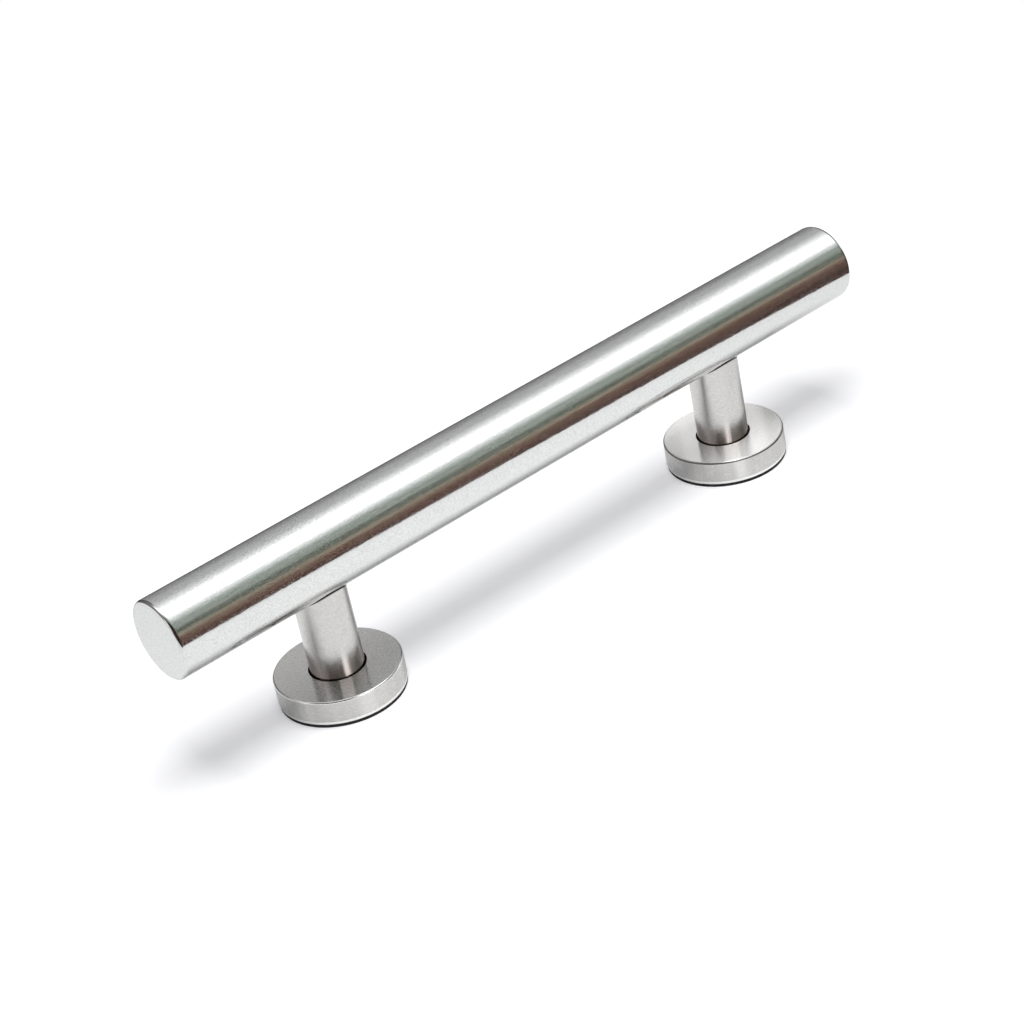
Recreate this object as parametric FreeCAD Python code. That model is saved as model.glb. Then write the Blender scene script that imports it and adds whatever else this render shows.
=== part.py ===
import FreeCAD, Part
import os

# A straight grab bar: a thick round tube with flat ends, carried off the wall on two posts.
# Each post is coped to the tube at its top and welded into a round base plate at its foot.
# A turned cover hides each base plate and its screws, and slides up the post to reach them.
# A rubber ring in the edge of the plate grips the cover, and a rubber gasket lies against the wall.
# Lengths are millimetres. The wall is the plane z = 0, x runs along the bar and z leaves the wall.

# Grip tube
bar_diameter = 38.0
bar_length = 400.0
bar_wall = 1.5
bar_to_wall = 52.0

# End caps, with a spigot that presses into the tube
cap_head = 2.5
cap_edge_radius = 1.5
cap_spigot_length = 8.0
cap_spigot_wall = 2.5
cap_spigot_chamfer = 0.8
cap_spigot_clearance = 0.05

# Posts
post_spacing = 240.0
post_diameter = 25.0
post_wall = 1.5

# Gaskets
gasket_thickness = 1.2
gasket_recess = 0.3
gasket_edge_radius = 0.2

# Covers
cover_diameter = 59.0
cover_height = 12.2
cover_wall = 1.2
cover_top_radius = 0.9
cover_rim_radius = 0.9
cover_inner_radius = 0.5
cover_hole_clearance = 0.6
cover_hole_edge_radius = 0.25

# Base plates
plate_thickness = 4.0
plate_chamfer = 0.4
plate_cover_clearance = 0.3
plate_post_clearance = 0.05
weld_leg = 2.0

# Cover rings, in a groove round each base plate
ring_section = 2.0
ring_cover_clearance = 0.05
ring_groove_play = 0.3

# Screw holes, countersunk in the base plates and plain in the gaskets
screw_hole_diameter = 5.5
screw_head_diameter = 10.5
screw_circle_diameter = 41.0
screw_count = 3
first_screw_angle = 90.0

# Worked out from the sizes above
bar_radius = bar_diameter / 2
bar_bore_radius = bar_radius - bar_wall
bar_axis_height = bar_to_wall + bar_radius
post_radius = post_diameter / 2
cover_radius = cover_diameter / 2
cover_bore_radius = cover_radius - cover_wall
plate_radius = cover_bore_radius - plate_cover_clearance
plate_bottom = gasket_thickness
plate_top = plate_bottom + plate_thickness
ring_outer_radius = cover_bore_radius - ring_cover_clearance
ring_height = plate_bottom + plate_thickness / 2
side_signs = {"left": -1, "right": 1}

origin = FreeCAD.Vector(0, 0, 0)
along_y = FreeCAD.Vector(0, 1, 0)
along_z = FreeCAD.Vector(0, 0, 1)


# Half outlines and the turned shapes that they make

def at(radius, height):
    return FreeCAD.Vector(radius, 0, height)


def on_circle(centre, radius, angle):
    # Angles start at the outward direction and grow upwards.
    return centre + FreeCAD.Rotation(along_y, -angle).multVec(at(radius, 0))


def round_off(centre, radius, start_angle, end_angle):
    # The two steps of an outline that follow a round: its first point, then its arc.
    middle_angle = (start_angle + end_angle) / 2
    middle = on_circle(centre, radius, middle_angle)
    return on_circle(centre, radius, start_angle), (middle, on_circle(centre, radius, end_angle))


def turned(start, *steps):
    # Turns a closed half outline about the z axis. A step is a point, or the middle and end of an arc.
    edges = []
    here = start
    for step in steps + (start,):
        if isinstance(step, tuple):
            middle, end = step
            edges.append(Part.Arc(here, middle, end).toShape())
        else:
            end = step
            if not here.isEqual(end, Part.Precision.confusion()):
                edges.append(Part.LineSegment(here, end).toShape())
        here = end
    return Part.Face(Part.Wire(edges)).revolve(origin, along_z, 360)


def tube(diameter, wall, length):
    radius = diameter / 2
    return Part.makeCylinder(radius, length).cut(Part.makeCylinder(radius - wall, length))


def lay_along_bar(shape, x):
    # Turns a shape made along z so that it runs along the bar's axis, starting at x.
    shape.rotate(origin, along_y, 90)
    shape.translate(FreeCAD.Vector(x, 0, bar_axis_height))
    return shape


# The bar

def make_grip_tube():
    length = bar_length - 2 * cap_head
    return lay_along_bar(tube(bar_diameter, bar_wall, length), -length / 2)


def make_end_cap():
    # The left-hand cap: a flat head with a rounded rim, and a hollow spigot inside the tube.
    spigot_radius = bar_bore_radius - cap_spigot_clearance
    hollow_radius = spigot_radius - cap_spigot_wall
    tip = cap_head + cap_spigot_length
    rim_centre = at(bar_radius - cap_edge_radius, cap_edge_radius)
    cap = turned(
        at(0, 0),
        *round_off(rim_centre, cap_edge_radius, -90, 0),
        at(bar_radius, cap_head),
        at(spigot_radius, cap_head),
        at(spigot_radius, tip - cap_spigot_chamfer),
        at(spigot_radius - cap_spigot_chamfer, tip),
        at(hollow_radius, tip),
        at(hollow_radius, cap_head),
        at(0, cap_head),
    )
    return lay_along_bar(cap, -bar_length / 2)


# The pieces of a foot, made about the z axis

def make_post():
    # A tube from the gasket to the bar, coped so that its end wraps the underside of the bar.
    post = tube(post_diameter, post_wall, bar_axis_height - plate_bottom)
    post.translate(at(0, plate_bottom))
    bar_space = Part.makeCylinder(bar_radius, 2 * post_diameter)
    return post.cut(lay_along_bar(bar_space, -post_diameter))


def drill_for_screws(shape, drill):
    for number in range(screw_count):
        angle = first_screw_angle + 360 * number / screw_count
        place = FreeCAD.Rotation(along_z, angle).multVec(at(screw_circle_diameter / 2, 0))
        shape = shape.cut(drill.translated(place))
    return shape


def make_gasket():
    # A disc that seals the whole foot, and the post's open end with it.
    rim_radius = cover_radius - gasket_recess
    edge_centre = at(rim_radius - gasket_edge_radius, gasket_thickness - gasket_edge_radius)
    gasket = turned(
        at(0, 0),
        at(rim_radius, 0),
        *round_off(edge_centre, gasket_edge_radius, 0, 90),
        at(0, gasket_thickness),
    )
    return drill_for_screws(gasket, Part.makeCylinder(screw_hole_diameter / 2, gasket_thickness))


def make_base_plate():
    # The plate has the post in its bore, the weld round the post on top and the ring's groove in its edge.
    bore_radius = post_radius + plate_post_clearance
    groove_radius = ring_outer_radius - ring_section
    groove_half_width = (ring_section + ring_groove_play) / 2
    weld_centre = at(post_radius + weld_leg, plate_top + weld_leg)
    plate = turned(
        at(bore_radius, plate_bottom),
        at(plate_radius, plate_bottom),
        at(plate_radius, ring_height - groove_half_width),
        at(groove_radius, ring_height - groove_half_width),
        at(groove_radius, ring_height + groove_half_width),
        at(plate_radius, ring_height + groove_half_width),
        at(plate_radius, plate_top - plate_chamfer),
        at(plate_radius - plate_chamfer, plate_top),
        *round_off(weld_centre, weld_leg, -90, -180),
        at(post_radius, plate_top),
        at(bore_radius, plate_top),
    )
    hole_radius = screw_hole_diameter / 2
    head_radius = screw_head_diameter / 2
    sink_bottom = plate_top - (head_radius - hole_radius)
    drill = turned(
        at(0, plate_bottom),
        at(hole_radius, plate_bottom),
        at(hole_radius, sink_bottom),
        at(head_radius, plate_top),
        at(0, plate_top),
    )
    return drill_for_screws(plate, drill)


def make_cover_ring():
    ring = Part.makeTorus(ring_outer_radius - ring_section / 2, ring_section / 2)
    return ring.translated(at(0, ring_height))


def make_cover():
    # A cup turned from bar: flat top with a hole round the post, plain skirt, and both edges rounded.
    rim = gasket_thickness
    top = rim + cover_height
    ceiling = top - cover_wall
    hole_radius = post_radius + cover_hole_clearance
    hole_edge_centre = at(hole_radius + cover_hole_edge_radius, top - cover_hole_edge_radius)
    top_edge_centre = at(cover_radius - cover_top_radius, top - cover_top_radius)
    rim_edge_centre = at(cover_radius - cover_rim_radius, rim + cover_rim_radius)
    inner_centre = at(cover_bore_radius - cover_inner_radius, ceiling - cover_inner_radius)
    return turned(
        at(hole_radius, ceiling),
        *round_off(hole_edge_centre, cover_hole_edge_radius, 180, 90),
        *round_off(top_edge_centre, cover_top_radius, 90, 0),
        *round_off(rim_edge_centre, cover_rim_radius, 0, -90),
        at(cover_bore_radius, rim),
        *round_off(inner_centre, cover_inner_radius, 0, 90),
    )


# Every piece goes to a file of its own

def save(name, shape):
    shape.exportStep(f"parts/{name}.step")
    print(f"{name}: {len(shape.Solids)} solid, {shape.Volume / 1000:.2f} cm3, valid {shape.isValid()}")


os.makedirs("parts", exist_ok=True)
save("grip_tube", make_grip_tube())
for side, sign in side_signs.items():
    turn = 0 if side == "left" else 180
    save(f"end_cap_{side}", make_end_cap().rotated(origin, along_z, turn))
    foot = FreeCAD.Vector(sign * post_spacing / 2, 0, 0)
    save(f"post_{side}", make_post().translated(foot))
    save(f"base_plate_{side}", make_base_plate().translated(foot))
    save(f"gasket_{side}", make_gasket().translated(foot))
    save(f"cover_ring_{side}", make_cover_ring().translated(foot))
    save(f"cover_{side}", make_cover().translated(foot))
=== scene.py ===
import math

import bmesh
import bpy
from mathutils import Matrix, Vector


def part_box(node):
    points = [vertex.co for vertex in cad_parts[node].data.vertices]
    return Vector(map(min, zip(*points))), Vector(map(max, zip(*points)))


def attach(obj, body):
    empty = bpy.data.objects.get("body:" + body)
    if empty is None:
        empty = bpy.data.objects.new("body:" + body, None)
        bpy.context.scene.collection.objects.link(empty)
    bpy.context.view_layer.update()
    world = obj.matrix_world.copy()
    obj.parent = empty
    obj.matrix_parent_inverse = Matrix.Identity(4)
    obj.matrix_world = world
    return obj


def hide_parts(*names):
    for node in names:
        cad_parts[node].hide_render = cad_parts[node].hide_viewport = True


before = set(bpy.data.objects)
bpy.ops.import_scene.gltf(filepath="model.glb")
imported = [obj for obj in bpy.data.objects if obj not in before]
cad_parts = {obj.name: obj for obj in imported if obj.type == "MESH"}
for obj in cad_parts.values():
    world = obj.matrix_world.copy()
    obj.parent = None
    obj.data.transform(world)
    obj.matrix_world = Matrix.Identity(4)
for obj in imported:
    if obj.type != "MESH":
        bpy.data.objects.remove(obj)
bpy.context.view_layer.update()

# A straight grab bar in stainless steel, laid with its wall side down on white paper.
# Lengths are metres. The wall side is z = 0, and x runs along the bar.
mm = 0.001
sides = {"left": -1, "right": 1}

# Sizes read from the frame. The two caps are alike, and so are the two feet, so one of each is read. The
# frame's round faces are made of flats, so a radius is rounded to the size meant.
tubeLow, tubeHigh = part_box("grip_tube")
capLow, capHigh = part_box("end_cap_left")
postLow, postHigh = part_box("post_right")
plateLow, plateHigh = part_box("base_plate_right")
gasketLow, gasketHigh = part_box("gasket_right")
ringLow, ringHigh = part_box("cover_ring_right")
coverLow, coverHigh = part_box("cover_right")


sizeStep = 0.05  # mm


def asMeant(length):
    return round(length / (sizeStep * mm)) * sizeStep * mm


def roundedHalf(low, high):
    return asMeant((high - low) / 2)


barRadius = roundedHalf(tubeLow.z, tubeHigh.z)
barHeight = asMeant((tubeHigh.z + tubeLow.z) / 2)
footX = (postHigh.x + postLow.x) / 2
postRadius = roundedHalf(postLow.x, postHigh.x)
plateRadius = roundedHalf(plateLow.x, plateHigh.x)
gasketRadius = roundedHalf(gasketLow.x, gasketHigh.x)
ringRadius = roundedHalf(ringLow.x, ringHigh.x)
coverRadius = roundedHalf(coverLow.x, coverHigh.x)
print("frame read: bar radius", round(barRadius, 5), "feet at", round(footX, 4))


# Small helpers

mergeDistance = 0.001 * mm
cornerTolerance = 0.01 * mm
sharpAngle = math.radians(30)


def hexColour(code):
    # From an sRGB hex value to the linear colour that Blender's sockets hold.
    channels = [int(code[i:i + 2], 16) / 255 for i in (1, 3, 5)]
    linear = [c / 12.92 if c <= 0.04045 else ((c + 0.055) / 1.055) ** 2.4 for c in channels]
    return (*linear, 1)


def addNode(tree, kind, settings={}, inputs={}, stops=()):
    # An input is a value or the socket that feeds it. Stops are a colour ramp's (place, colour) pairs.
    node = tree.nodes.new(kind)
    for name, value in settings.items():
        setattr(node, name, value)
    for name, value in inputs.items():
        if isinstance(value, bpy.types.NodeSocket):
            tree.links.new(value, node.inputs[name])
        else:
            node.inputs[name].default_value = value
    for number, (place, colour) in enumerate(stops):
        elements = node.color_ramp.elements
        stop = elements[number] if number < len(elements) else elements.new(place)
        stop.position, stop.color = place, colour
    return node


def calculate(tree, operation, *values):
    return addNode(tree, "ShaderNodeMath", {"operation": operation}, dict(enumerate(values))).outputs[0]


def rescale(tree, value, fromLow, fromHigh, toLow=0, toHigh=1, smooth=False):
    # Takes one range to another and stops at its ends, evenly or with soft ends.
    kind = "SMOOTHSTEP" if smooth else "LINEAR"
    return addNode(tree, "ShaderNodeMapRange", {"interpolation_type": kind}, {
        "Value": value, "From Min": fromLow, "From Max": fromHigh, "To Min": toLow,
        "To Max": toHigh}).outputs["Result"]


def mixColours(tree, share, first, second, blend="MIX"):
    # 6 and 7 are the colours that it takes, and 2 is the one that it gives.
    return addNode(tree, "ShaderNodeMix", {"data_type": "RGBA", "blend_type": blend}, {
        "Factor": share, 6: first, 7: second}).outputs[2]


def makeNoise(tree, places, sizes, detail, roughness=0.5):
    # The sizes are those of one mark along x, y and z.
    stretched = addNode(tree, "ShaderNodeMapping", inputs={
        "Vector": places, "Scale": [1 / size for size in sizes]}).outputs["Vector"]
    return addNode(tree, "ShaderNodeTexNoise", inputs={
        "Vector": stretched, "Scale": 1, "Detail": detail, "Roughness": roughness}).outputs["Fac"]


def makeBump(tree, height, depth, strength=1):
    return addNode(tree, "ShaderNodeBump", inputs={
        "Height": height, "Strength": strength, "Distance": depth}).outputs["Normal"]


def newMaterial(name, **sockets):
    # The shader's sockets are given by name, with underscores for spaces. Places are the piece's own.
    material = bpy.data.materials.new(name)
    material.use_nodes = True
    tree = material.node_tree
    shader = tree.nodes["Principled BSDF"]
    for socket, value in sockets.items():
        shader.inputs[socket.replace("_", " ")].default_value = value
    places = addNode(tree, "ShaderNodeTexCoord").outputs["Object"]
    return material, tree, shader, places


def feedShader(tree, shader, **sockets):
    for socket, source in sockets.items():
        tree.links.new(source, shader.inputs[socket.replace("_", " ")])


def spinOutline(outline, steps):
    # Turns a half outline of (radius, height) points about z. It is closed unless it ends on the axis.
    bm = bmesh.new()
    corners = [bm.verts.new((radius, 0, height)) for radius, height in outline]
    edges = [bm.edges.new(pair) for pair in zip(corners, corners[1:])]
    if outline[0][0] > 0:
        edges.append(bm.edges.new((corners[-1], corners[0])))
    bmesh.ops.spin(bm, geom=corners + edges, cent=(0, 0, 0), axis=(0, 0, 1), angle=2 * math.pi,
                   steps=steps, use_merge=True, use_duplicate=False)
    bmesh.ops.remove_doubles(bm, verts=bm.verts, dist=mergeDistance)
    return bm


def roundCorner(bm, radius, height, size, segments=8):
    # Rounds the circular edge that the outline's corner at (radius, height) has become.
    def isThere(vert):
        away = math.hypot(vert.co.x, vert.co.y) - radius
        return abs(away) < cornerTolerance and abs(vert.co.z - height) < cornerTolerance
    edges = [edge for edge in bm.edges if all(isThere(vert) for vert in edge.verts)]
    bmesh.ops.bevel(bm, geom=edges, offset=size, offset_type="OFFSET", segments=segments,
                    profile=0.5, affect="EDGES", clamp_overlap=True, material=-1)


def placePiece(bm, name, body, slot, materials, *nodes, place=Matrix(), pickMaterial=None):
    # Makes the finished piece of a bmesh, on its body and in place of its CAD nodes.
    bmesh.ops.recalc_face_normals(bm, faces=bm.faces)
    for face in bm.faces:
        face.smooth = True
        face.material_index = pickMaterial(face) if pickMaterial else 0
    bmesh.ops.transform(bm, matrix=place, verts=bm.verts)
    for edge in bm.edges:
        edge.smooth = edge.calc_face_angle(0) < sharpAngle
    mesh = bpy.data.meshes.new(name)
    bm.to_mesh(mesh)
    bm.free()
    piece = bpy.data.objects.new(name, mesh)
    bpy.context.scene.collection.objects.link(piece)
    for material in materials:
        mesh.materials.append(material)
    keepFlats = piece.modifiers.new("keepFlatsFlat", "WEIGHTED_NORMAL")
    keepFlats.keep_sharp = True
    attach(piece, body)
    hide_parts(*nodes)
    return piece


# Materials

noiseLow, noiseHigh = 0.3, 0.7  # most of a noise's values lie between these

# In a finish, a length, width or height is that of one mark of its grain, a depth is that of its bump, and
# smoothest and roughest are roughness.
polishedFinish = {
    "strandLength": 6 * mm, "strandWidth": 0.6 * mm, "strandDepth": 0.015 * mm, "grain": 0.6 * mm,
    "smoothest": 0.06, "roughest": 0.26, "smoothUpTo": 0.5, "roughFrom": 0.72,
    "dark": "#D6D7D7", "light": "#EFF0F0",
}


def spreadColours(tree, noise, finish):
    # From dark to light over most of a noise's values
    return mixColours(tree, rescale(tree, noise, noiseLow, noiseHigh), hexColour(finish["dark"]),
                      hexColour(finish["light"]))


def makePolishedSteel():
    # Stainless tube, belt polished along its length: clear reflections, with fine strands that run along it
    # and a grain between them. Both are drawn coarser than the belt's grit, so that they show.
    finish = polishedFinish
    material, tree, shader, places = newMaterial("beltPolishedStainlessSteel", Metallic=1)
    strandSizes = finish["strandLength"], finish["strandWidth"], finish["strandWidth"]
    strands = makeNoise(tree, places, strandSizes, detail=2, roughness=0.6)
    grain = makeNoise(tree, places, [finish["grain"]] * 3, detail=1)
    rough = rescale(tree, grain, finish["smoothUpTo"], finish["roughFrom"], finish["smoothest"],
                    finish["roughest"])
    feedShader(tree, shader, Base_Color=spreadColours(tree, grain, finish), Roughness=rough,
               Normal=makeBump(tree, strands, finish["strandDepth"]))
    return material


def brushRound(tree, shader, places, finish):
    # A grain that runs level round a piece: it draws what the piece reflects out up and down it.
    upright = addNode(tree, "ShaderNodeCombineXYZ", inputs={"Z": 1}).outputs["Vector"]
    grainSizes = finish["grainLength"], finish["grainLength"], finish["grainHeight"]
    grain = makeNoise(tree, places, grainSizes, detail=3, roughness=0.6)
    rough = rescale(tree, grain, noiseLow, noiseHigh, finish["smoothest"], finish["roughest"])
    feedShader(tree, shader, Roughness=rough, Tangent=upright,
               Normal=makeBump(tree, grain, finish["grainDepth"]))


brushedFinish = {
    "grainLength": 2 * mm, "grainHeight": 0.6 * mm, "grainDepth": 0.015 * mm,
    "smoothest": 0.1, "roughest": 0.2,
    "speckleLength": 1 * mm, "speckleHeight": 0.4 * mm, "speckle": "#EAEAEA",
    # Painted shade at the post's foot: its colour, the height where it is full and the height where it has
    # faded out
    "foot": "#CEC3BF", "plain": "#DCDBD9", "footShadeFullTo": 16 * mm, "footShadeGoneAt": 26 * mm,
    "weld": "#2B2725", "weldDarkTo": 0.3 * mm, "weldEnds": 0.9 * mm,
}


def makeBrushedSteel():
    # Stainless tube, belt brushed round its girth: what it reflects is drawn out up and down it. Near its
    # foot it is painted darker and browner, as painted shade from the cover round it. The grain is drawn
    # coarser than the belt's grit, to show.
    finish = brushedFinish
    material, tree, shader, places = newMaterial("brushedStainlessSteel", Metallic=1, Anisotropic=1)
    brushRound(tree, shader, places, finish)
    up = addNode(tree, "ShaderNodeSeparateXYZ", inputs={"Vector": places}).outputs["Z"]
    # Painted shade: the post is darker and browner towards its foot, next to the cover
    aboveFootShade = rescale(tree, up, finish["footShadeFullTo"], finish["footShadeGoneAt"], smooth=True)
    footShaded = mixColours(tree, aboveFootShade, hexColour(finish["foot"]), hexColour(finish["plain"]))
    speckleSizes = finish["speckleLength"], finish["speckleLength"], finish["speckleHeight"]
    speckle = makeNoise(tree, places, speckleSizes, detail=1)
    brushed = mixColours(tree, rescale(tree, speckle, noiseLow, noiseHigh), footShaded,
                         hexColour(finish["speckle"]), "MULTIPLY")
    # The weld to the bar leaves a thin dark line, as far from the bar's axis as its surface is.
    fromAxis = addNode(tree, "ShaderNodeMapping", inputs={
        "Vector": places, "Location": (0, 0, -barHeight), "Scale": (0, 1, 1)}).outputs["Vector"]
    away = addNode(tree, "ShaderNodeVectorMath", {"operation": "LENGTH"}, {0: fromAxis}).outputs["Value"]
    seam = rescale(tree, away, barRadius + finish["weldDarkTo"], barRadius + finish["weldEnds"],
                   smooth=True)
    feedShader(tree, shader, Base_Color=mixColours(tree, seam, hexColour(finish["weld"]), brushed))
    return material


# Each disc is brushed by hand, the right one more coarsely, so each has its smoothest spot's roughness.
coverTopFinish = {
    "grainAngle": math.radians(-34.3), "grainLength": 1.5 * mm, "grainWidth": 0.5 * mm,
    "smoothest": {"left": 0.26, "right": 0.29}, "rougherBy": 0.06, "dark": "#D5D4D3", "light": "#E6E5E4",
}


def makeCoverTopSteel(side):
    # Turned stainless disc, brushed straight across: what it reflects is drawn out across the grain. The
    # grain is drawn coarser than it is, so that it shows.
    finish = coverTopFinish
    material, tree, shader, places = newMaterial(
        side + "CrossBrushedStainlessSteel", Metallic=1, Anisotropic=1)
    across = finish["grainAngle"] + math.pi / 2
    acrossVector = addNode(tree, "ShaderNodeCombineXYZ", inputs={
        "X": math.cos(across), "Y": math.sin(across)}).outputs["Vector"]
    turnedPlaces = addNode(tree, "ShaderNodeMapping", inputs={
        "Vector": places, "Rotation": (0, 0, -finish["grainAngle"])}).outputs["Vector"]
    grainSizes = finish["grainLength"], finish["grainWidth"], finish["grainLength"]
    grain = makeNoise(tree, turnedPlaces, grainSizes, detail=3, roughness=0.6)
    speckle = makeNoise(tree, turnedPlaces, grainSizes, detail=1)
    smoothest = finish["smoothest"][side]
    rough = rescale(tree, grain, noiseLow, noiseHigh, smoothest, smoothest + finish["rougherBy"])
    feedShader(tree, shader, Base_Color=spreadColours(tree, speckle, finish), Roughness=rough,
               Tangent=acrossVector)
    return material


skirtFinish = {
    "grainLength": 2 * mm, "grainHeight": 0.7 * mm, "grainDepth": 0.002 * mm, "smoothest": 0.26,
    "roughest": 0.32, "bandWidth": 4 * mm, "bandHeight": 40 * mm, "dark": "#DAD9D8", "light": "#E3E2E2",
}


def makeCoverSkirtSteel():
    # The same disc's skirt, polished round: what it reflects is drawn out up and down it, in faint bands.
    # The grain is drawn coarser than it is, so that it shows.
    finish = skirtFinish
    material, tree, shader, places = newMaterial(
        "roundPolishedStainlessSteel", Metallic=1, Anisotropic=1)
    brushRound(tree, shader, places, finish)
    bandSizes = finish["bandWidth"], finish["bandWidth"], finish["bandHeight"]
    bands = makeNoise(tree, places, bandSizes, detail=4, roughness=0.6)
    feedShader(tree, shader, Base_Color=spreadColours(tree, bands, finish))
    return material


# Finishes with no grain to see: a plain colour, with a mottle in how rough it is
mottledFinishes = {
    # Rounded edges and a band above the rim, polished on a soft buffing wheel and given a near-white colour
    # as a painted highlight: a thin bright line
    "buffedSteelPaintedHighlight": {
        "colour": "#FCFCFB", "mottle": 6 * mm, "detail": 2, "smoothest": 0.22, "roughest": 0.3},
    # The inside of a cover and its hole's edge, in a dark grey that is painted shade, so the gap round the
    # post is dark
    "coverInsideSteelPaintedShade": {
        "colour": "#57544F", "mottle": 0.8 * mm, "detail": 2, "smoothest": 0.42, "roughest": 0.58},
    # The right disc's rounded top edge, in dark grey as a painted dark reflection: a thin grey line
    "rightEdgeSteelPaintedDark": {
        "colour": "#7C7977", "mottle": 2 * mm, "detail": 2, "smoothest": 0.34, "roughest": 0.46},
    # Laser-cut plate, left as rolled: duller and greyer than the rest
    "rolledStainlessSteel": {
        "colour": "#C9C8C5", "mottle": 3 * mm, "detail": 4, "smoothest": 0.3, "roughest": 0.46},
}


def makeMottledSteel(name):
    finish = mottledFinishes[name]
    colour = hexColour(finish["colour"])
    material, tree, shader, places = newMaterial(name, Base_Color=colour, Metallic=1)
    mottle = makeNoise(tree, places, [finish["mottle"]] * 3, finish["detail"])
    rough = rescale(tree, mottle, 0, 1, finish["smoothest"], finish["roughest"])  # seldom at either end
    feedShader(tree, shader, Roughness=rough)
    return material


rubberGrain = {"size": 0.4 * mm, "depth": 0.02 * mm, "strength": 0.4}


def makeRubber(name, colour, roughness):
    # Moulded black rubber: a soft dull black with a faint grain.
    material, tree, shader, places = newMaterial(name, Base_Color=hexColour(colour), Roughness=roughness)
    grain = makeNoise(tree, places, [rubberGrain["size"]] * 3, detail=2)
    bump = makeBump(tree, grain, rubberGrain["depth"], rubberGrain["strength"])
    feedShader(tree, shader, Normal=bump)
    return material


polishedSteel = makePolishedSteel()
brushedSteel = makeBrushedSteel()
coverTopSteels = {side: makeCoverTopSteel(side) for side in sides}
coverSkirtSteel = makeCoverSkirtSteel()
# Painted highlight: near-white steel for the rounded edges and the band above the rim
buffedHighlightSteel = makeMottledSteel("buffedSteelPaintedHighlight")
# Painted shade for the inside of the covers and their holes' edges
insideShadeSteel = makeMottledSteel("coverInsideSteelPaintedShade")
# The top edges carry painted light: the left a painted highlight, the right a painted dark reflection
paintedTopEdgeSteels = {"left": buffedHighlightSteel, "right": makeMottledSteel("rightEdgeSteelPaintedDark")}
plateSteel = makeMottledSteel("rolledStainlessSteel")
gasketRubber = makeRubber("blackGasketRubber", "#161616", 0.6)
ringRubber = makeRubber("blackRingRubber", "#1C1C1D", 0.45)
print("materials made")


# The bar: a tube closed by two pressed-in caps

barSizes = {"wall": 1.5 * mm, "steps": 256}


def layAlongBar(startX, sign=1):
    # From "made about z" to "runs along the bar from startX".
    return Matrix.Translation((startX, 0, barHeight)) @ Matrix.Rotation(sign * math.pi / 2, 4, "Y")


def makeGripTube():
    length = tubeHigh.x - tubeLow.x
    bore = barRadius - barSizes["wall"]
    bm = spinOutline([(bore, 0), (barRadius, 0), (barRadius, length), (bore, length)], barSizes["steps"])
    placePiece(bm, "gripTube", "bar", "polished_steel", [polishedSteel], "grip_tube",
               place=layAlongBar(tubeLow.x))


capSizes = {"edgeRadius": 1.5 * mm, "spigotWall": 2.5 * mm, "spigotGap": 0.05 * mm, "chamfer": 0.8 * mm}


def makeEndCap(side, sign):
    head = tubeLow.x - capLow.x
    tip = capHigh.x - capLow.x
    spigot = barRadius - barSizes["wall"] - capSizes["spigotGap"]
    hollow = spigot - capSizes["spigotWall"]
    outline = [(0, 0), (barRadius, 0), (barRadius, head), (spigot, head), (spigot, tip),
               (hollow, tip), (hollow, head), (0, head)]
    bm = spinOutline(outline, barSizes["steps"])
    roundCorner(bm, barRadius, 0, capSizes["edgeRadius"])
    roundCorner(bm, spigot, tip, capSizes["chamfer"], 1)
    placePiece(bm, "endCap" + side.capitalize(), "bar", "end_cap_steel", [polishedSteel],
               "end_cap_" + side, place=layAlongBar(sign * -capLow.x, -sign))


makeGripTube()
for side, sign in sides.items():
    makeEndCap(side, sign)
print("bar made")


# The feet: each has a post, a base plate with its ring, a gasket and a cover

postSizes = {"wall": 1.5 * mm, "steps": 160}


def makePost(side, place):
    # The top end wraps the underside of the bar.
    bore = postRadius - postSizes["wall"]
    top = barHeight - barRadius
    bm = spinOutline([(bore, postLow.z), (postRadius, postLow.z), (postRadius, top), (bore, top)],
                     postSizes["steps"])
    for vert in bm.verts:
        if vert.co.z > top - mm:
            vert.co.z = barHeight - math.sqrt(barRadius ** 2 - vert.co.y ** 2)
    placePiece(bm, "post" + side.capitalize(), "bar", "brushed_steel", [brushedSteel],
               "post_" + side, place=place)


screwSizes = {
    "count": 3, "circle": 41 * mm, "hole": 5.5 * mm, "head": 10.5 * mm, "firstAngle": 90,  # degrees
    "steps": 48,
}


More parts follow.
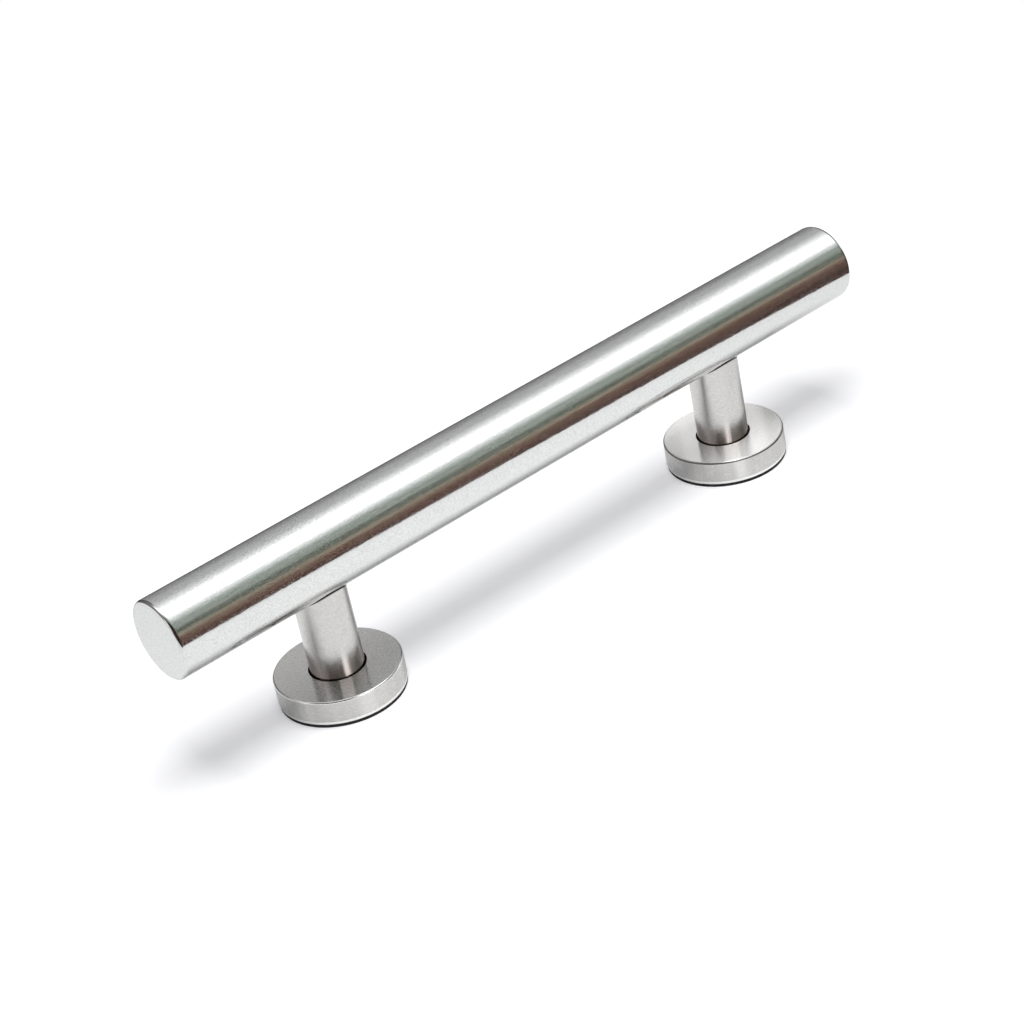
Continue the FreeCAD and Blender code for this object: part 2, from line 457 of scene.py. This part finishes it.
def drillForScrews(bm, name, bottom, top, countersunk=False):
    # Cuts the screw holes through a turned piece and gives it back.
    mesh = bpy.data.meshes.new(name)
    bm.to_mesh(mesh)
    bm.free()
    blank = bpy.data.objects.new(name, mesh)
    bpy.context.scene.collection.objects.link(blank)
    hole, head = screwSizes["hole"] / 2, screwSizes["head"] / 2
    outline = [(0, bottom - mm), (hole, bottom - mm)]
    if countersunk:
        outline += [(hole, top - head + hole), (head, top), (head, top + mm), (0, top + mm)]
    else:
        outline += [(hole, top + mm), (0, top + mm)]
    drills = bmesh.new()
    for number in range(screwSizes["count"]):
        angle = math.radians(screwSizes["firstAngle"] + 360 * number / screwSizes["count"])
        drill = spinOutline(outline, screwSizes["steps"])
        bmesh.ops.recalc_face_normals(drill, faces=drill.faces)
        bmesh.ops.translate(drill, verts=drill.verts, vec=Matrix.Rotation(angle, 3, "Z")
                            @ Vector((screwSizes["circle"] / 2, 0, 0)))
        drillMesh = bpy.data.meshes.new("drill")
        drill.to_mesh(drillMesh)
        drill.free()
        drills.from_mesh(drillMesh)
        bpy.data.meshes.remove(drillMesh)
    cutterMesh = bpy.data.meshes.new("drills")
    drills.to_mesh(cutterMesh)
    drills.free()
    cutter = bpy.data.objects.new("drills", cutterMesh)
    bpy.context.scene.collection.objects.link(cutter)
    holes = blank.modifiers.new("holes", "BOOLEAN")
    holes.operation, holes.solver, holes.object = "DIFFERENCE", "EXACT", cutter
    drilled = blank.evaluated_get(bpy.context.evaluated_depsgraph_get()).to_mesh()
    result = bmesh.new()
    result.from_mesh(drilled)
    bpy.data.objects.remove(blank)
    bpy.data.objects.remove(cutter)
    return result


plateSizes = {
    "bore": postRadius + 0.05 * mm, "chamfer": 0.4 * mm, "weldLeg": 2 * mm, "weldSteps": 6,
    "grooveDepth": plateRadius - ringRadius + 2 * mm,
    "grooveHeight": 2.3 * mm, "thickness": 4 * mm, "steps": 128,
}


def makeBasePlate(side, place):
    # A turned plate with a groove for the ring in its edge and a concave weld round the post.
    radius = plateRadius
    bottom, top = plateLow.z, plateLow.z + plateSizes["thickness"]
    middle = (ringLow.z + ringHigh.z) / 2
    grooveRadius = radius - plateSizes["grooveDepth"]
    grooveLow, grooveHigh = middle - plateSizes["grooveHeight"] / 2, middle + plateSizes["grooveHeight"] / 2
    leg, weldSteps = plateSizes["weldLeg"], plateSizes["weldSteps"]
    weldTurns = [math.pi * (1 + step / (2 * weldSteps)) for step in range(1, weldSteps)]
    weld = [(postRadius + leg + leg * math.cos(turn), top + leg + leg * math.sin(turn))
            for turn in weldTurns]
    outline = [(plateSizes["bore"], bottom), (radius, bottom), (radius, grooveLow),
               (grooveRadius, grooveLow), (grooveRadius, grooveHigh), (radius, grooveHigh),
               (radius, top), (postRadius + leg, top),
               *reversed(weld), (postRadius, top + leg), (postRadius, top), (plateSizes["bore"], top)]
    bm = spinOutline(outline, plateSizes["steps"])
    roundCorner(bm, radius, top, plateSizes["chamfer"], 1)
    bmesh.ops.recalc_face_normals(bm, faces=bm.faces)
    bm = drillForScrews(bm, "plateBlank", bottom, top, countersunk=True)
    placePiece(bm, "basePlate" + side.capitalize(), "bar", "plate_steel", [plateSteel],
               "base_plate_" + side, place=place)


gasketSizes = {"edgeRadius": 0.2 * mm, "steps": 160}


def makeGasket(side, place):
    radius = gasketRadius
    bm = spinOutline([(0, gasketLow.z), (radius, gasketLow.z), (radius, gasketHigh.z), (0, gasketHigh.z)],
                     gasketSizes["steps"])
    roundCorner(bm, radius, gasketHigh.z, gasketSizes["edgeRadius"], 3)
    bmesh.ops.recalc_face_normals(bm, faces=bm.faces)
    bm = drillForScrews(bm, "gasketBlank", gasketLow.z, gasketHigh.z)
    placePiece(bm, "gasket" + side.capitalize(), "bar", "gasket_rubber", [gasketRubber],
               "gasket_" + side, place=place)


ringSizes = {"sectionSteps": 20, "steps": 128}


def makeCoverRing(side, place):
    section = (ringHigh.z - ringLow.z) / 2
    radius = ringRadius - section
    bm = bmesh.new()
    upright = Matrix.Translation((radius, 0, ringLow.z + section)) @ Matrix.Rotation(math.pi / 2, 4, "X")
    bmesh.ops.create_circle(bm, segments=ringSizes["sectionSteps"], radius=section, matrix=upright)
    bmesh.ops.spin(bm, geom=bm.verts[:] + bm.edges[:], cent=(0, 0, 0), axis=(0, 0, 1), angle=2 * math.pi,
                   steps=ringSizes["steps"], use_merge=True, use_duplicate=False)
    bmesh.ops.remove_doubles(bm, verts=bm.verts, dist=mergeDistance)
    placePiece(bm, "coverRing" + side.capitalize(), "bar", "ring_rubber", [ringRubber],
               "cover_ring_" + side, place=place)


# One size here is the height of the band above the rim that is painted with a highlight.
coverSizes = {
    "wall": 1.2 * mm, "topRadius": 0.9 * mm, "rimRadius": 0.9 * mm, "innerRadius": 0.5 * mm,
    "hole": postRadius + 0.6 * mm, "holeRadius": 0.25 * mm, "buffedHighlightBand": 1.7 * mm, "steps": 192,
}


# The upward part of a face's normal: level faces, upright ones, and how far up the rounded top edge its
# painted line reaches: a painted highlight on the left, a painted dark reflection on the right
levelNormal = 0.999
uprightNormal = 0.05
paintedEdgeLineTops = {"left": 0.99, "right": 0.75}


def pickCoverSteel(face, buffedHighlightTop, paintedEdgeLineTop):
    # 0 is the top, 1 the skirt, 2 the rim with its band in a painted highlight, 3 the inside with the
    # hole's edge in painted shade, and 4 the rounded top edge with its painted line.
    middle = face.calc_center_median()
    outwards = face.normal.x * middle.x + face.normal.y * middle.y
    if face.normal.z > levelNormal:
        return 0
    if outwards < 0 or face.normal.z < -levelNormal and middle.z > coverLow.z + mm:
        return 3
    if middle.z < buffedHighlightTop:
        return 2
    if face.normal.z < uprightNormal:
        return 1
    return 4 if face.normal.z < paintedEdgeLineTop else 0


def makeCover(side, place):
    # A turned cup with a hole for the post, rounded at its top and at its rim.
    radius = coverRadius
    bore = radius - coverSizes["wall"]
    rim, top = coverLow.z, coverHigh.z
    ceiling = top - coverSizes["wall"]
    hole = coverSizes["hole"]
    # The band below this height takes the painted highlight.
    buffedHighlightTop = rim + coverSizes["buffedHighlightBand"]
    outline = [(hole, ceiling), (hole, top), (radius, top), (radius, buffedHighlightTop), (radius, rim), (bore, rim),
               (bore, ceiling)]
    bm = spinOutline(outline, coverSizes["steps"])
    roundCorner(bm, radius, top, coverSizes["topRadius"])
    roundCorner(bm, radius, rim, coverSizes["rimRadius"])
    roundCorner(bm, bore, ceiling, coverSizes["innerRadius"], 4)
    roundCorner(bm, hole, top, coverSizes["holeRadius"], 3)
    placePiece(bm, "cover" + side.capitalize(), side + "_cover", "cover_steel",
               [coverTopSteels[side], coverSkirtSteel, buffedHighlightSteel, insideShadeSteel, paintedTopEdgeSteels[side]],
               "cover_" + side, place=place,
               pickMaterial=lambda face: pickCoverSteel(face, buffedHighlightTop, paintedEdgeLineTops[side]))


for side, sign in sides.items():
    foot = Matrix.Translation((sign * footX, 0, 0))
    makePost(side, foot)
    makeBasePlate(side, foot)
    makeGasket(side, foot)
    makeCoverRing(side, foot)
    makeCover(side, foot)
    print(side, "foot made")


# The set: white paper, a wide softbox overhead, and the room that the steel mirrors

# The camera sees the paper lifted by "near" up to nearEnd from the middle, and by "far" from farStart on.
paperLook = {
    "colour": "#FAFAFA", "lift": "#F7F8FF", "near": 0.288, "far": 0.7, "nearEnd": 0.35, "farStart": 0.9,
}
paperSheets = {
    "paper": [(-1.1, -0.35), (0.05, -0.46), (0.16, -0.248), (0.262, -0.123), (0.4, 0.004), (0.46, 0.1),
              (-0.2, 0.1), (-0.25, 0.25), (-1.1, 0.25)],
    "paperBehind": [(-1.1, 0.25), (-0.25, 0.25), (-0.2, 0.1), (0.46, 0.1), (0.5, 0.19), (-1.1, 0.32)],
}


def makePaper():
    # Matt white paper: even and without shine. Its edge ends the white that the bar mirrors from below.
    # The camera alone sees it a little brighter, so that it is white away from the shadow.
    material, tree, shader, places = newMaterial(
        "mattWhitePaper", Base_Color=hexColour(paperLook["colour"]), Roughness=1, Specular_IOR_Level=0,
        Emission_Color=hexColour(paperLook["lift"]))
    isCamera = addNode(tree, "ShaderNodeLightPath").outputs["Is Camera Ray"]
    away = addNode(tree, "ShaderNodeVectorMath", {"operation": "LENGTH"}, {0: places}).outputs["Value"]
    lift = rescale(tree, away, paperLook["nearEnd"], paperLook["farStart"], paperLook["near"],
                   paperLook["far"], smooth=True)
    feedShader(tree, shader, Emission_Strength=calculate(tree, "MULTIPLY", isCamera, lift))
    for name, corners in paperSheets.items():
        bm = bmesh.new()
        bm.faces.new([bm.verts.new((x, y, 0)) for x, y in corners])
        mesh = bpy.data.meshes.new(name)
        bm.to_mesh(mesh)
        bm.free()
        mesh.materials.append(material)
        sheet = bpy.data.objects.new(name, mesh)
        bpy.context.scene.collection.objects.link(sheet)
        sheet.visible_glossy = name == "paper"  # the steel sees the room where the sheet behind lies


# The softbox lights the paper and the rubber, and throws the shadow. The others are bright shapes that only
# the steel mirrors, and each is set for the pieces that it names alone.
wattsPerArea = 4  # for each unit of radiance of a lamp
lamps = {
    "softbox": {"place": (-0.018, -0.135, 1.09), "facing": (0, 0, -1), "size": (0.785, 0.73),
                "radiance": 4.87},
    "softboxMiddle": {"place": (0.125, -0.175, 1.08), "facing": (0, 0, -1), "size": (0.35, 0.45),
                      "radiance": 5, "lights": ["coverRight", "postRight"]},
    "cardInFront": {"place": (-0.07, -0.67, 0.445), "facing": (0.1, 1, 0), "size": (0.26, 0.49),
                    "radiance": 2.6, "lights": ["coverLeft", "coverRight"]},
    "wallForLeftPost": {"place": (-0.3, -0.67, 0.445), "facing": (0, 1, 0), "size": (0.7, 0.49),
                        "radiance": 1.1, "lights": ["postLeft"]},
    "wallForRightPost": {"place": (-0.1, -0.67, 0.445), "facing": (0, 1, 0), "size": (1.1, 0.49),
                         "radiance": 1.7, "lights": ["postRight"]},
    "cardBehind": {"place": (0.1595, 0.0466, 0.064), "facing": (-0.56, -0.83, 0), "size": (0.045, 0.04),
                   "radiance": 1, "lights": ["coverRight"]},
    "paleCardBehind": {"place": (0.128, 0.0679, 0.055), "facing": (-0.56, -0.83, 0), "size": (0.03, 0.06),
                       "radiance": 0.3, "lights": ["coverRight"]},
}


def makeLamps():
    for name, lamp in lamps.items():
        light = bpy.data.lights.new(name, "AREA")
        light.shape = "RECTANGLE"
        light.size, light.size_y = lamp["size"]
        light.energy = wattsPerArea * lamp["radiance"] * light.size * light.size_y
        holder = bpy.data.objects.new(name, light)
        turned = Vector(lamp["facing"]).to_track_quat("-Z", "Y").to_matrix().to_4x4()
        holder.matrix_world = Matrix.Translation(lamp["place"]) @ turned
        holder.visible_camera = False
        holder.visible_glossy = name != "softbox"
        holder.visible_diffuse = name == "softbox"
        bpy.context.scene.collection.objects.link(holder)
        if "lights" in lamp:
            lit = bpy.data.collections.new(name + "Lights")
            for piece in lamp["lights"]:
                lit.objects.link(bpy.data.objects[piece])
            holder.light_linking.receiver_collection = lit


# What the steel sees of the room, by its angle round the bar: 0 is level in front, 90 overhead, 180 behind.
# It turns by slant degrees between directions across the bar and along it, and not at all where the part of
# the direction along the bar is slantMiddle. Streaks deepen or thin its colours, by a gamma of about depth.
room = {
    "ambient": 0.25,
    "strength": 2,
    "round": [(-12, "#3A2C28"), (4, "#503C34"), (14, "#66574B"), (19, "#746F61"), (24, "#55564D"),
              (31, "#4C514A"), (38, "#747A72"), (50, "#787E78"), (58, "#9EA39F"), (67, "#CACACA"),
              (74, "#FFFFFF"), (97, "#FFFFFF"), (104, "#D3D3D3"), (116, "#B1B1B1"), (128, "#949494"),
              (148, "#878787"), (166, "#747474"), (182, "#5D5D5D")],
    "slant": 25,
    "slantMiddle": 0.49,
    "depth": 1.1,
    "leastDepth": 0.3,
    "streakSizes": (1 / 60, 1 / 700, 1),  # in turns round the bar, and in the part along it
    "streakTurns": (0.38, 0.47),  # the streaks' amount changes between these places on the ramp
    "streakAmounts": (4, 3.5),
    "acrossDim": "#C4C4C4",
    "leftSide": "#241D1C",
    "rightSide": "#151815",
    "behindShare": 0.7,
    "floorLeft": "#B3B3B3",
    "floorRight": "#4C4C4C",
}

# Where one part of the room fades into the next: the part of the direction that is read, its value where
# the fade starts and its value where it is complete
roomFades = {
    "toTheLeft": ("X", 0.3, 0.12),
    "toTheRight": ("X", 0.62, 0.7),
    "notFarLeft": ("X", -0.24, -0.12),
    "notOverhead": ("Z", 0.88, 0.7),
    "below": ("Z", -0.1, -0.25),
    "rightness": ("X", -0.3, 0.3),
    "notBehind": ("Y", 0.45, 0.1),
    "notAlong": ("alongX", 0.96, 0.89),
}


def makeWorld():
    world = bpy.data.worlds.new("studio")
    bpy.context.scene.world = world
    world.use_nodes = True
    world.cycles.sampling_method = "NONE"  # the pattern is for mirror rays alone
    tree = world.node_tree
    tree.nodes.clear()
    towards = addNode(tree, "ShaderNodeTexCoord").outputs["Generated"]
    split = addNode(tree, "ShaderNodeSeparateXYZ", inputs={"Vector": towards}).outputs
    x, y, z = split["X"], split["Y"], split["Z"]
    parts = {"X": x, "Y": y, "Z": z, "alongX": calculate(tree, "ABSOLUTE", x)}
    least = {"notBehind": room["behindShare"]}
    fades = {
        name: rescale(tree, parts[part], fadeStart, fadeEnd, least.get(name, 0), smooth=True)
        for name, (part, fadeStart, fadeEnd) in roomFades.items()}

    # The bands round the bar: on the ramp, level in front is at 0.25, overhead at 0.5 and behind at 0.75
    share = calculate(tree, "MULTIPLY_ADD", calculate(tree, "ARCTAN2", y, z), 1 / (2 * math.pi),
                      0.5 - room["slant"] * room["slantMiddle"] / 360)
    slanted = calculate(tree, "MULTIPLY_ADD", x, room["slant"] / 360, share)
    roundTheBar = addNode(tree, "ShaderNodeValToRGB", inputs={"Fac": slanted}, stops=[
        (angle / 360 + 0.25, hexColour(code)) for angle, code in room["round"]]).outputs["Color"]

    # The streaks along them
    streakPlaces = addNode(tree, "ShaderNodeCombineXYZ", inputs={"X": slanted, "Y": x}).outputs["Vector"]
    streaks = makeNoise(tree, streakPlaces, room["streakSizes"], detail=2, roughness=0.6)
    amount = rescale(tree, slanted, *room["streakTurns"], *room["streakAmounts"])
    centred = calculate(tree, "SUBTRACT", streaks, 0.5)
    depth = calculate(tree, "MULTIPLY_ADD", centred, amount, room["depth"])
    streaked = addNode(tree, "ShaderNodeGamma", inputs={
        "Color": roundTheBar, "Gamma": calculate(tree, "MAXIMUM", depth, room["leastDepth"])})

    # Square across the bar they are dimmed, so that the covers' tops clip less when seen from above
    across = calculate(tree, "MULTIPLY", fades["toTheLeft"], fades["notFarLeft"])
    dimmed = mixColours(tree, across, streaked.outputs["Color"], hexColour(room["acrossDim"]), "MULTIPLY")

    # Low down at the sides it is dark, which gives the posts and the covers their dark flanks
    leftShare = calculate(tree, "MULTIPLY", fades["toTheLeft"], fades["notBehind"])
    beside = calculate(tree, "ADD", leftShare, fades["toTheRight"])
    for limit in ("notOverhead", "notAlong"):
        beside = calculate(tree, "MULTIPLY", beside, fades[limit])
    sideColour = mixColours(tree, fades["toTheLeft"], hexColour(room["rightSide"]),
                            hexColour(room["leftSide"]))
    aboveFloor = mixColours(tree, beside, dimmed, sideColour)

    # The floor behind, paler to the left
    floorBehind = mixColours(tree, fades["rightness"], hexColour(room["floorLeft"]),
                             hexColour(room["floorRight"]))
    belowBehind = calculate(tree, "MULTIPLY", fades["below"], calculate(tree, "GREATER_THAN", y, 0))
    pattern = mixColours(tree, belowBehind, aboveFloor, floorBehind)

    # The steel mirrors the pattern, the camera sees white, and all else gets a dim even light
    lightPath = addNode(tree, "ShaderNodeLightPath").outputs
    seenInSteel = addNode(tree, "ShaderNodeBackground", inputs={
        "Color": pattern, "Strength": room["strength"]})
    ambient = addNode(tree, "ShaderNodeBackground", inputs={
        "Color": (1, 1, 1, 1), "Strength": room["ambient"]})
    white = addNode(tree, "ShaderNodeBackground", inputs={"Color": (1, 1, 1, 1)})
    lit = addNode(tree, "ShaderNodeMixShader", inputs={
        0: lightPath["Is Glossy Ray"], 1: ambient.outputs[0], 2: seenInSteel.outputs[0]})
    shown = addNode(tree, "ShaderNodeMixShader", inputs={
        0: lightPath["Is Camera Ray"], 1: lit.outputs[0], 2: white.outputs[0]})
    addNode(tree, "ShaderNodeOutputWorld", inputs={"Surface": shown.outputs[0]})


# Degrees, metres, and mm for the lens and the sensor. The camera turns about the target.
cameraSettings = {
    "azimuth": -34.34, "elevation": 29.92, "roll": -11.715, "distance": 1.2016,
    "target": (-0.01198, -0.00053, 0.03664), "lens": 92.04, "sensorWidth": 36, "clipStart": 0.01,
}


def makeCamera():
    azimuth, elevation = (math.radians(cameraSettings[name]) for name in ("azimuth", "elevation"))
    level = Matrix.Rotation(azimuth, 3, "Z") @ Matrix.Rotation(math.pi / 2 - elevation, 3, "X")
    turned = level @ Matrix.Rotation(math.radians(cameraSettings["roll"]), 3, "Z")
    camera = bpy.data.objects.new("camera", bpy.data.cameras.new("camera"))
    camera.data.sensor_width = cameraSettings["sensorWidth"]
    camera.data.lens = cameraSettings["lens"]
    camera.data.clip_start = cameraSettings["clipStart"]
    back = turned @ Vector((0, 0, cameraSettings["distance"]))
    camera.matrix_world = Matrix.Translation(Vector(cameraSettings["target"]) + back) @ turned.to_4x4()
    bpy.context.scene.collection.objects.link(camera)
    bpy.context.scene.camera = camera


makePaper()
makeLamps()
makeWorld()
makeCamera()
bpy.context.scene.view_settings.view_transform = "Standard"
print("set, light and camera made")
